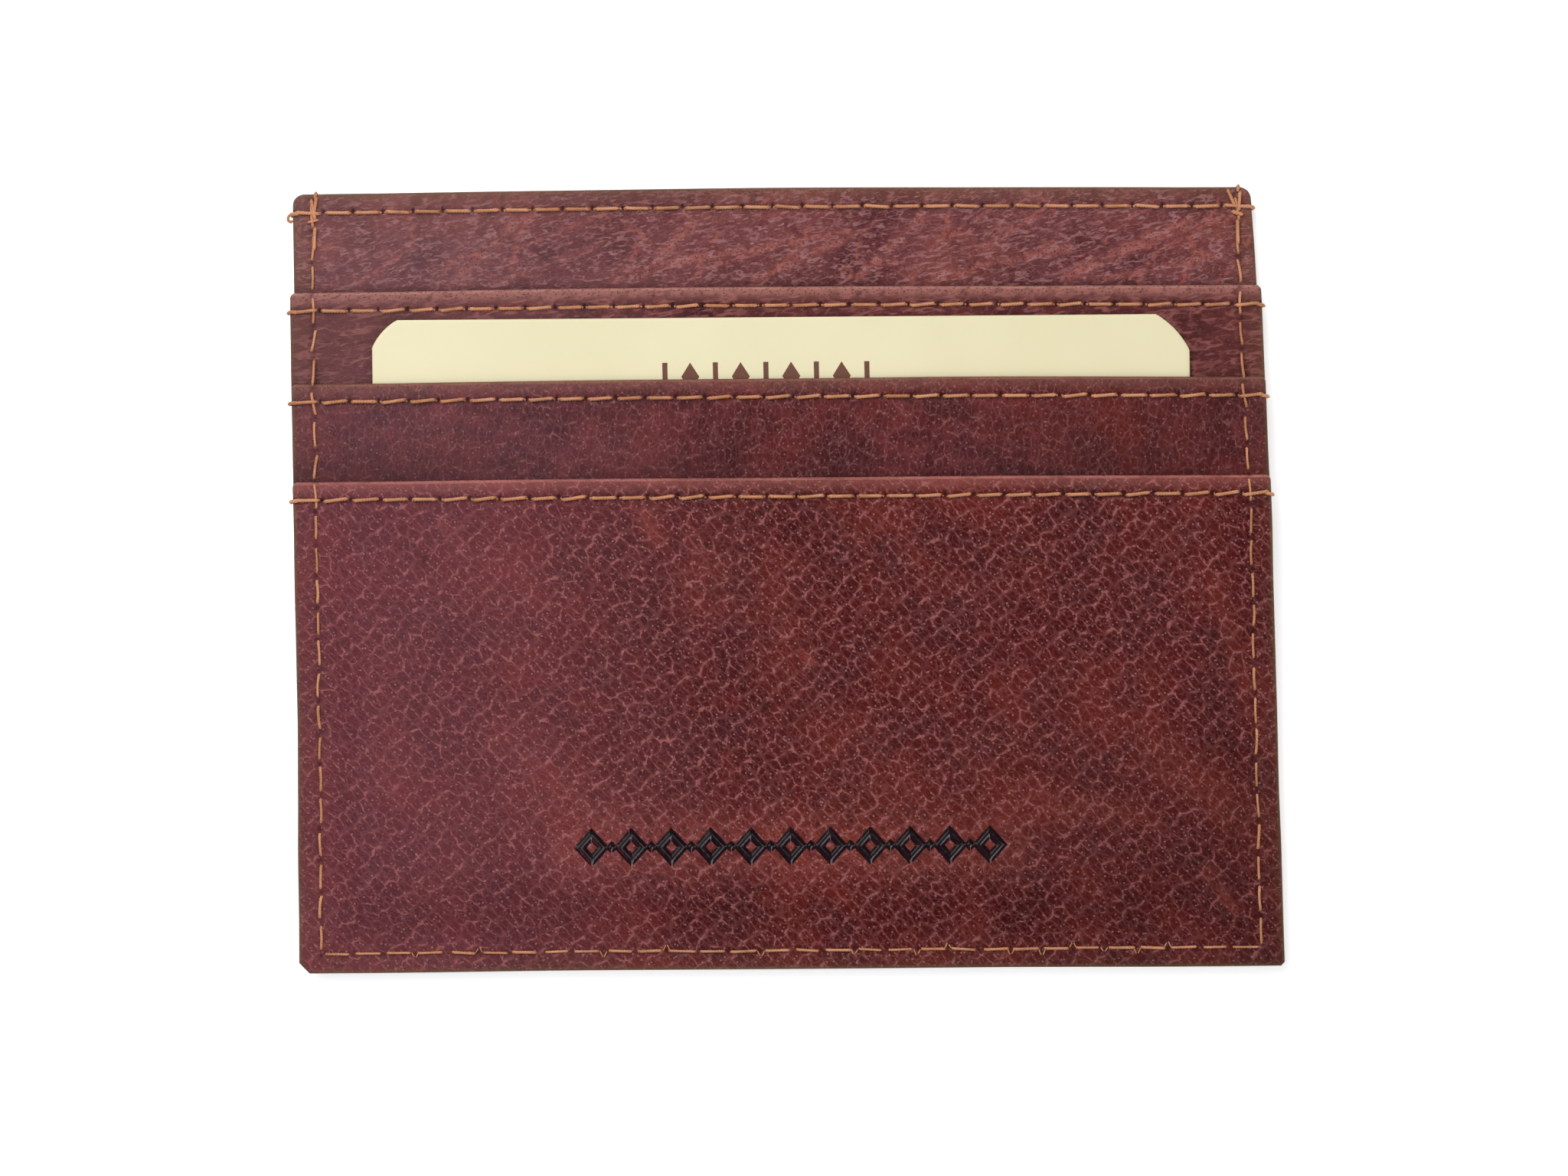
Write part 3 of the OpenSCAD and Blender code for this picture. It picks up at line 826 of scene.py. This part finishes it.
def wall_surface(x, d):
    drawn, dark = sewn(x, d, "wall", "body")
    crease = strokes(x, d, CREASES)
    wrinkle = 0.016 * noise(x + 0.8 * d, d, 0.55, 12) * (1 + noise(x, d, 4, 13))
    lift = wrinkle + 0.02 * noise(x, d, 3, 11) - 0.03 * crease - drawn
    wear_and_highlight = 1.1 * crease + 0.2 * fold_highlight(d, 0) + 0.25 * (1 + noise(x + 0.9 * d, d * 0.6, 4.5, 14))
    # painted shadow: the wall darkens over the last 0.8 mm above the upper strip's mouth, where the strip's
    # fold shades it
    return lift, wear_and_highlight, np.maximum(dark, 0.3 * smooth(MOUTH_1 - 0.8, MOUTH_1 - 0.1, d))


def upper_surface(x, d):
    drawn, dark = sewn(x, d, "upper", "body")
    wrinkle = 0.03 * noise(x / 2.6 + 0.3 * d, d, 0.7, 31) * (1 + noise(x, d, 6, 32))
    pores = (noise(x, d, 0.33, 33) > 0.72) & (np.abs(d - MOUTH_1 - 0.7) < 0.5)
    lift = wrinkle + 0.02 * noise(x, d, 3, 34) - drawn
    wear_and_highlight = 1.3 * fold_highlight(d, MOUTH_1) + 0.1 * (1 + noise(x, d, 8, 35))
    return lift, wear_and_highlight, np.maximum(dark, 0.5 * pores)


def middle_surface(x, d):
    drawn, dark = sewn(x, d, "middle", "body")
    lift = 0.014 * noise(x, d / 2.2, 0.6, 51) + 0.03 * noise(x, d, 4, 52) - drawn
    wear_and_highlight = 0.6 * fold_highlight(d, MOUTH_2) + 0.07 * (1 + noise(x, d, 7, 53))
    # painted shade: darker over the last 5 mm above the front pocket's mouth, where the front panel shades
    # the strip
    low = smooth(MOUTH_3 - 5.0, MOUTH_3 - 0.3, d) * (0.22 + 0.2 * noise(x, d, 8, 54))
    # painted shade: darker toward the right, away from the lamps
    low = low + 0.13 * smooth(10, 44, x)
    return lift, wear_and_highlight, np.maximum(dark, low)


SCUFFS = [
    (1.4, 49.0, 2.4, 49.9, 0.4, 1.3), (43.6, 72.0, 46.6, 76.4, 0.6, 0.9), (-36, 34.6, -34, 37.6, 0.7, 0.5),
    (-15.5, 33.5, -14.0, 36.5, 0.8, 0.6), (-10, 36.5, -8, 40, 1.2, 0.35), (44.5, 41, 47, 52, 1.3, 0.35),
    (26, 64, 38, 67, 1.6, 0.4), (-30, 58, -20, 66, 2.2, 0.25), (38, 60, 46, 66, 1.8, 0.3),
]
SPOTS = [
    (-8.4, 37.5, 0.35), (9.7, 38.2, 0.42), (-38.0, 38.6, 0.4), (-2.5, 54.3, 0.42), (13.4, 36.0, 0.3),
    (24.6, 38.8, 0.35), (-6.0, 34.6, 0.3), (33.0, 60.2, 0.4), (-25.5, 57.5, 0.35), (-5.2, 44.2, 0.25),
]


def stamp_halo(x, d):
    """1 on and round the stamped band, where the leather was heated and pressed."""
    beside = smooth(STAMP_W / 2 + 3.5, STAMP_W / 2 - 0.5, np.abs(x))
    return beside * bell(d - STAMP_D, STAMP_H * 0.8)


def front_waves(x, d):
    """Slow undulations of the front panel."""
    return (0.03 * noise(x, d, 5, 72) + 0.05 * noise(x, d, 16, 73)) * (1 - 0.7 * stamp_halo(x, d))


def front_surface(x, d):
    drawn, dark = sewn(x, d, "front", "body")
    halo = stamp_halo(x, d)
    pebble = 0.014 * noise(x + 0.4 * d, d, 0.75, 71) * (1 - halo)
    wear_and_highlight = 0.35 * fold_highlight(d, MOUTH_3) + strokes(x, d, SCUFFS) + 0.7 * halo
    wear_and_highlight = wear_and_highlight + 0.1 * (1 + noise(x, d, 6, 74))
    # painted shade: darker toward the lower right, away from the lamps
    dark = np.maximum(dark, 0.24 * smooth(0, 44, x) * smooth(44, 72, d))
    for sx, sd, size in SPOTS:
        dark = np.maximum(dark, 0.7 * bell(np.hypot(x - sx, d - sd), size))
    return pebble + front_waves(x, d) - drawn - STAMP_DEPTH * stamp_trench(x, d), wear_and_highlight, dark


def back_surface(x, d):
    """The outer face of the back, with grooves in which the stitches lie."""
    hem, hem_dark = seam_marks(x, d, HOLES["back"], 0.34, 0.3, 0.0)
    body, body_dark = seam_marks(x, d, HOLES["body"], 0.3, 0.24, 0.6)
    rough = 0.012 * (noise(x + 0.4 * d, d, 0.8, 95) - 1) + 0.02 * (noise(x, d, 6, 96) - 1)
    return rough - np.maximum(hem, body), 0.2 * fold_highlight(d, 0), np.maximum(hem_dark, body_dark)


# ---- plies
def shares(*spans):
    """Column lines as shares of the width, from spans in millimetres from the left edge."""
    lines = steps(*spans)
    return lines / lines[-1]


WIDE = 2 * HALF_W
EDGE_W = 0.4  # width of the grid's last row or column along an edge
PLAIN_COLS = shares((0, EDGE_W, EDGE_W), (EDGE_W, WIDE - EDGE_W, 1.2), (WIDE - EDGE_W, WIDE, EDGE_W))
STAMP_LEFT, STAMP_RIGHT = HALF_W - STAMP_W / 2 - 0.6, HALF_W + STAMP_W / 2 + 0.6
FRONT_COLS = shares((0, EDGE_W, EDGE_W), (EDGE_W, STAMP_LEFT, 1.5), (STAMP_LEFT, STAMP_RIGHT, 0.56),
                    (STAMP_RIGHT, WIDE - EDGE_W, 1.5), (WIDE - EDGE_W, WIDE, EDGE_W))
FOOT_ROWS = (BOTTOM - EDGE_W, BOTTOM, EDGE_W)


def piece(obj, node, body="holder"):
    if node:
        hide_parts(node)
    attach(obj, body)


def leather_ply(name, node, spans, end, low, top, tab, leather, surface, seed, cols=PLAIN_COLS,
                slot="leather", **more):
    """A leather ply whose rows are given as spans from its mouth down to its end."""
    obj = ply(name, spans[0][0], end, steps(*spans), cols, low, top, tab, TAB_R if tab else CORNER_R,
              [leather, EDGE], surface=surface, seed=seed, **more)
    piece(obj, node)


leather_ply("back_leather", "back_panel",
            [(0, 3, 1.0), (3, BOTTOM - 3, 1.6), (BOTTOM - 3, BOTTOM - EDGE_W, 1.0), FOOT_ROWS], BOTTOM,
            lambda x, d: -LINING_T * (d < 8.1) + 0 * x, flat(BACK_T), 0, BACK_LEATHER, back_surface, 101,
            slot="leather_back", worn_top=True, mirror=BACK_T)
leather_ply("wall_leather", "centre_wall",
            [(0, MOUTH_1 + 1, 1.0), (MOUTH_1 + 1, BOTTOM - 2, 3), (BOTTOM - 2, BOTTOM - EDGE_W, 1.0),
             FOOT_ROWS], BOTTOM, slab(wall_low, TOUCH), wall_top, 0, WALL_LEATHER, wall_surface, 111,
            worn_top=True, haze=0.28)
leather_ply("upper_strip_leather", "upper_pocket_strip",
            [(MOUTH_1, MOUTH_2 + 1, 1.0), (MOUTH_2 + 1, STRIP_1_END, 2.2)], STRIP_1_END,
            upper_low, upper_top, TAB, UPPER_LEATHER, upper_surface, 121, haze=0.2)
leather_ply("middle_strip_leather", "middle_pocket_strip",
            [(MOUTH_2, MOUTH_3 + 1, 1.0), (MOUTH_3 + 1, STRIP_2_END, 2.2)], STRIP_2_END,
            middle_low, middle_top, TAB, MIDDLE_LEATHER, middle_surface, 131)
STAMP_HEAD, STAMP_FOOT = STAMP_D - STAMP_H / 2 - 0.4, STAMP_D + STAMP_H / 2 + 0.4
leather_ply("front_leather", "front_pocket_panel",
            [(MOUTH_3, STAMP_HEAD, 1.4), (STAMP_HEAD, STAMP_FOOT, 0.56), (STAMP_FOOT, BOTTOM - EDGE_W, 1.4),
             FOOT_ROWS], BOTTOM, front_low, front_top, TAB, FRONT_LEATHER, front_surface, 141, FRONT_COLS)

# the linings are thin cloth under each ply, laid in flat and sewn into the seams
HEM_H = 8.0
IN_SEAM = 0.6  # inset of the linings that are sewn into the side seams
IN_POCKET = 7.0  # inset of the linings that are only as wide as their pocket
CLOTH_T = LINING_T * 0.8
BASE_1 = TOP_Y - node_box("upper_pocket_lining")[0][1]
BASE_2 = TOP_Y - node_box("middle_pocket_lining")[0][1]


def lining(name, node, d0, d1, level, set_in):
    obj = ply(name, d0, d1, steps((d0, d1, 2.4)), shares((0, WIDE, 2.4)), level, slab(level, CLOTH_T), 0, 0.3,
              [LINING, LINING], k=1, fold=False, set_in=set_in, wavy=0.0)
    piece(obj, node)


def over_pocket_card(x, d):
    """A level over the card, which comes down to the centre wall at the pocket's foot."""
    return lerp(CARD_HIGH[2] + CARD_ROOM, wall_top(x, d) + TOUCH, smooth(BASE_2 - 4.4, BASE_2 - 2.0, d))


lining("back_lining_cloth", "back_lining", HEM_H, BOTTOM - 0.6, flat(BACK_T), IN_SEAM)
lining("wall_lining_cloth", "centre_wall_lining", HEM_H, BOTTOM - 0.6, slab(wall_low, TOUCH - CLOTH_T),
       IN_SEAM)
lining("upper_lining_cloth", "upper_pocket_lining", STRIP_1_END, BASE_1, slab(wall_top, TOUCH),
       IN_POCKET)
lining("middle_lining_cloth", "middle_pocket_lining", STRIP_2_END, BASE_2, over_pocket_card,
       IN_POCKET)
lining("front_lining_cloth", "front_pocket_lining", MOUTH_3 + HEM_H, BOTTOM - 0.6,
       slab(front_low, -LINING_T * 0.7), IN_SEAM)


# ---- stamped foil
FOIL_LAP = 0.1  # how far the foil runs up past the line's edges
FOIL_T = 0.03
FOIL_LIFT = 0.025  # of its upper face off the leather


def foil_lozenge(bundle, cx, half_w, half_h, sides, deepest, count, joined):
    """Foil in the groove of one lozenge, or over the whole of a small one."""
    slope = math.hypot(half_w, half_h)
    angle = np.linspace(0, 2 * math.pi, sides, endpoint=False)
    reach = 1 / (np.abs(np.cos(angle)) + np.abs(np.sin(angle)))
    rings = []
    for inset in np.linspace(-FOIL_LAP, deepest, count):
        x = cx + (half_w - inset * slope / half_h) * reach * np.cos(angle)
        d = STAMP_D - (half_h - inset * slope / half_w) * reach * np.sin(angle)
        sunk = STAMP_DEPTH * smooth(*STAMP_WALL, min(inset, STAMP_LINE - inset))
        rings.append(points(x, d, front_top(x, d) + front_waves(x, d) - sunk + FOIL_LIFT))
    bundle.loft([ring - (0, 0, FOIL_T) for ring in rings[::-1]] + rings, joined)


foil = Bundle()
DOT_HALF = STAMP_LINE / math.sqrt(2)
for cx in RINGS:
    foil_lozenge(foil, cx, RING_W, RING_H, 36, STAMP_LINE + FOIL_LAP, 13, True)
for cx in DOTS:
    foil_lozenge(foil, cx, DOT_HALF, DOT_HALF, 16, (DOT_HALF - 0.1) / math.sqrt(2), 6, False)
piece(foil.build("stamp_band", GLOSS), "stamp_foil")


# ---- filler card
CLIP_LEFT = 2.7
CLIP_RIGHT = 3.5
CARD_SHIFT = -0.3  # the card lies off the middle of its pocket


def card_outline():
    """Outline of the card with clipped corners whose angles are rounded off."""
    half_w, half_h = (CARD_HIGH[0] - CARD_LOW[0]) / 2, (CARD_HIGH[1] - CARD_LOW[1]) / 2

    def corner(clip):
        cut = []
        for t in np.linspace(0, 1, 15):
            bow = 0.05 * clip * math.sin(math.pi * t) + 0.12 * math.sin(math.pi * t) ** 0.5
            cut.append((half_w - clip * t + bow, half_h - clip * 1.08 * (1 - t) + bow))
        return np.minimum(cut, (half_w, half_h))

    right, left = corner(CLIP_RIGHT), corner(CLIP_LEFT)
    points = [*right, *(left * (-1, 1))[::-1], *(left * (-1, -1)), *(right * (1, -1))[::-1]]
    return np.array(points)


def make_card():
    """A thin card with eased edges, as a stack of outlines."""
    centre = (CARD_LOW + CARD_HIGH) / 2 + (CARD_SHIFT, 0, 0)
    half_t = (CARD_HIGH[2] - CARD_LOW[2]) / 2
    outline = card_outline()
    rings = []
    for inset, share in ((0.35, -1), (0.06, -1), (0.0, -0.6), (0.0, 0.6), (0.06, 1), (0.35, 1)):
        flat_ring = outline * (1 - inset / np.abs(outline).max(0)) + centre[:2]
        rings.append(np.insert(flat_ring, 2, centre[2] + share * half_t, 1))
    bundle = Bundle()
    bundle.loft(rings)
    piece(bundle.build("filler_card", CARD_STOCK, 60), "insert_card", "card")


make_card()

PRINT_W = 23.8
PRINT_H = 3.0
PRINT_COUNT = 9


def card_print():
    """A generic ornament across the card's head: bars and lozenges by turns."""
    bundle = Bundle()
    middle = np.array([(CARD_LOW[0] + CARD_HIGH[0]) / 2 - 1.9, CARD_HIGH[1] - 6.4])
    half = PRINT_H / 2
    bar = [(0.27, -half), (0.27, half), (-0.27, half), (-0.27, -half)]
    lozenge = [(0.95, 0), (0, half), (-0.95, 0), (0, -half)]
    for i in range(PRINT_COUNT):
        along = (i - (PRINT_COUNT - 1) / 2) * PRINT_W / PRINT_COUNT
        shape = np.array(lozenge if i % 2 else bar) + middle + (along, 0)
        bundle.loft([np.insert(shape, 2, CARD_HIGH[2] + level, 1) for level in (-0.004, 0.008)])
    piece(bundle.build("card_print", INK), None, "card")


card_print()


# ---- stitching
def along(corners, count):
    """The corners' coordinates, a column each, at count even steps along them."""
    t = np.linspace(0, len(corners) - 1, count)
    return [np.interp(t, range(len(corners)), column) for column in zip(*corners)]


def over_edge(bundle, hole, edge_x, face, low):
    """The thread's last turn round a side edge, from a hole over the edge and down it."""
    side = 1 if edge_x > hole[0] else -1
    out = side * HEM_THREAD
    top, base = (height_at(level, edge_x - side * 0.3, hole[1]) for level in (face, low))
    x, z = along([(hole[0], top - 0.3), ((hole[0] + edge_x) / 2, top + HEM_THREAD * 0.8),
                  (edge_x - side * 0.05, top + HEM_THREAD * 0.6), (edge_x + out * 0.8, top - 0.2),
                  (edge_x + out * 0.9, base + 0.3), (edge_x + out * 0.4, base + 0.05)], STITCH_POINTS)
    bundle.thread(points(x, hole[1] + np.linspace(0, 0.25, STITCH_POINTS), z), HEM_THREAD)


def thread_loop(bundle, hole, face):
    """The slack loop that stands out of the top row's left end."""
    path = along([(0.5, 0.05, 0.15), (0.05, 0.0, 0.12), (-0.35, 0.15, 0.0), (-0.6, 0.5, -0.2),
                  (-0.5, 0.85, -0.4), (-0.2, 0.9, -0.5), (0.05, 0.7, -0.45)], 22)
    x, d, z = (np.convolve(np.pad(p, 2, mode="edge"), np.ones(5) / 5, mode="valid") for p in path)
    z = z + height_at(face, hole[0] + 0.5, hole[1])
    bundle.thread(points(hole[0] + x, hole[1] + d, z), HEM_THREAD * 0.8)


def beneath_card(x, d):
    """The upper strip's surface, low enough for its thread to clear the sliding card."""
    return np.minimum(upper_top(x, d), CARD_LOW[2] - HEM_THREAD * 1.75 - 0.03)


def hem_seam(key, node, face, low, seed, slant):
    holes = HOLES[key]
    bundle = Bundle()
    row_of_stitches(bundle, holes, face, HEM_THREAD, seed, slant)
    row_of_stitches(bundle, holes, slab(low, HEM_THREAD * 1.8), HEM_THREAD, seed + 50, under=True)
    for end, inset in ((holes[0], 0.8), (holes[-1], -0.8)):
        over_edge(bundle, end + (inset, 0), end[0], face, low)
    if key == "wall":
        thread_loop(bundle, holes[0], face)
    piece(bundle.build(key + "_hem_thread", YARN), node)


hem_seam("back", "back_hem_seam", flat(BACK_T + LINING_T), flat(0), 201, (0, 0.1))
hem_seam("wall", "centre_wall_hem_seam", wall_top, wall_low, 202, (-0.12, 0.24))
hem_seam("upper", "upper_pocket_hem_seam", beneath_card, upper_low, 203, (-0.3, 0.12))
hem_seam("middle", "middle_pocket_hem_seam", middle_top, middle_low, 204, (-0.38, 0.02))
hem_seam("front", "front_pocket_hem_seam", front_top, front_low, 205, (-0.4, 0.06))


def base_seam(key, seed):
    """The hidden seam that closes the foot of a pocket."""
    low, high = node_box(key + "_pocket_lining")
    count = round((high[0] - low[0] - 6) / HEM_PITCH)
    d = TOP_Y - low[1] - 1.0
    holes = np.linspace((low[0] + 3, d), (high[0] - 3, d), count + 1)
    bundle = Bundle()
    row_of_stitches(bundle, holes, slab(wall_top, LINING_T), BODY_THREAD, seed)
    row_of_stitches(bundle, holes, slab(wall_low, BODY_THREAD), BODY_THREAD, seed + 50, under=True)
    piece(bundle.build(key + "_base_thread", YARN), key + "_pocket_base_seam")


base_seam("upper", 211)
base_seam("middle", 212)

# needle holes along the lower row from which two short fibres stand out
BARB_HOLES = (27, 29, 33, 35, 38, 41, 43, 44, 46, 47, 48, 49, 50, 51)


def body_seam():
    holes = HOLES["body"]
    bundle = Bundle()
    rng = np.random.default_rng(221)
    for a, b in zip(holes[:-1], holes[1:]):
        start, end = rng.uniform(0.02, 0.13, 2)
        upright = abs(b[0] - a[0]) < 1
        swing = 0.45 if upright and a[1] < 32 else 0.16
        bow = rng.uniform(-0.12, 0.12) if upright else 0.0
        radius = BODY_THREAD * rng.uniform(0.85, 1.1)
        stitch(bundle, a + (b - a) * start, b - (b - a) * end, stack_top, radius,
               rng.uniform(-swing, swing), BODY_THREAD * 0.5, 0.14, bow=bow)
    row_of_stitches(bundle, holes, flat(BODY_THREAD * 1.85), BODY_THREAD, 222, (-0.1, 0.1), under=True)
    for hx, hd in holes[list(BARB_HOLES)]:
        flip = rng.choice((-1, 1))
        for lean in (-1, 1):
            tip = (hx + 0.05 * lean, hd + flip * rng.uniform(0.45, 0.75))
            root = (hx + 0.38 * lean, hd - flip * 0.02)
            stitch(bundle, root, tip, stack_top, 0.07, 0.0, -0.02, 0.3, 0.15)
    tack(bundle)
    piece(bundle.build("body_thread", YARN), "body_seam")


def tack(bundle):
    """Back-tacks at both top corners, where the body seam turns over the edge."""
    left, right = SEAM_LEFT, SEAM_RIGHT_TOP
    heavy = HEM_THREAD * 0.95
    for x0, d0, x1, d1, share in (
            (left + 0.5, 0.3, left + 0.15, 2.4, 1), (left - 0.1, 0.5, left + 0.35, 2.8, 1),
            (left - 0.5, 3.0, left + 0.7, 2.7, 0.7), (left + 0.3, 3.4, left + 0.2, 6.0, 1.05),
            (right - 1.0, 0.2, right - 0.1, 2.2, 1), (right + 0.35, 0.4, right + 0.2, 2.6, 1),
            (right - 0.5, 2.6, right + 0.6, 2.9, 1.15), (right + 0.05, 3.4, right + 0.1, 6.1, 1.1)):
        stitch(bundle, (x0, d0), (x1, d1), wall_top, heavy * share, 0.0, -0.02, 0.12)
    angle = np.linspace(0, math.pi, STITCH_POINTS)
    for x in (left + 0.3, right + 0.1):
        low, high = height_at(wall_low, x, 1.0), height_at(wall_top, x, 1.0)
        z = (low + high) / 2 + ((high - low) / 2 + 0.12) * np.cos(angle)
        bundle.thread(points(x + 0.1 * np.sin(angle), 0.5 - 0.62 * np.sin(angle), z), heavy)


body_seam()

# ---- floor, light and camera
FLOOR_SIZE = 3.0
CAMERA_HEIGHT = 0.62
FRAME_W = 0.1640  # width of the picture at the holder's face
FACE_Z = 0.0045
ROLL = 0.45
SENSOR_W = 36


def area_light(name, size, power, azimuth, elevation, distance, colour):
    """A soft square light aimed at the origin."""
    data = bpy.data.lights.new(name, "AREA")
    data.size = size
    data.energy = power
    data.color = colour
    obj = placed(name, data)
    turn, rise = math.radians(azimuth), math.radians(elevation)
    obj.location = (distance * math.cos(rise) * math.cos(turn), distance * math.cos(rise) * math.sin(turn),
                    distance * math.sin(rise))
    obj.rotation_euler = (-obj.location).to_track_quat("-Z", "Y").to_euler()


plane = bpy.data.meshes.new("floor")
half = FLOOR_SIZE / 2
corners = [(-half, -half, 0), (half, -half, 0), (half, half, 0), (-half, half, 0)]
plane.from_pydata(corners, [], [(0, 1, 2, 3)])
white = Graph("floor_white", Specular_IOR_Level=0.0, Emission_Color=(1, 1, 1), Emission_Strength=0.45)
plane.materials.append(white.done((0.97, 0.97, 0.97), 0.9))
floor = placed("floor", plane)
floor.location.z = -0.00003  # clear of the back's own face

world = bpy.data.worlds.new("studio")
world.use_nodes = True
glow = world.node_tree.nodes["Background"].inputs
glow["Color"].default_value = (0.95, 0.97, 1.0, 1)
glow["Strength"].default_value = 0.14
bpy.context.scene.world = world
area_light("key", 0.5, 3.95, 116, 50, 0.8, (1.0, 0.985, 0.97))
area_light("overhead", 0.3, 0.66, 160, 66, 0.36, (0.82, 0.9, 1.0))
area_light("fill", 1.0, 5.9, -30, 40, 1.2, (1.0, 0.97, 0.94))

lens = bpy.data.cameras.new("camera")
lens.sensor_width = SENSOR_W
lens.lens = SENSOR_W * (CAMERA_HEIGHT - FACE_Z) / FRAME_W
lens.clip_start = 0.01
camera = placed("camera", lens)
camera.location = (-0.0005, -0.0010, CAMERA_HEIGHT)
camera.rotation_euler = (0, 0, -math.radians(ROLL))
bpy.context.scene.camera = camera
bpy.context.scene.view_settings.view_transform = "Standard"
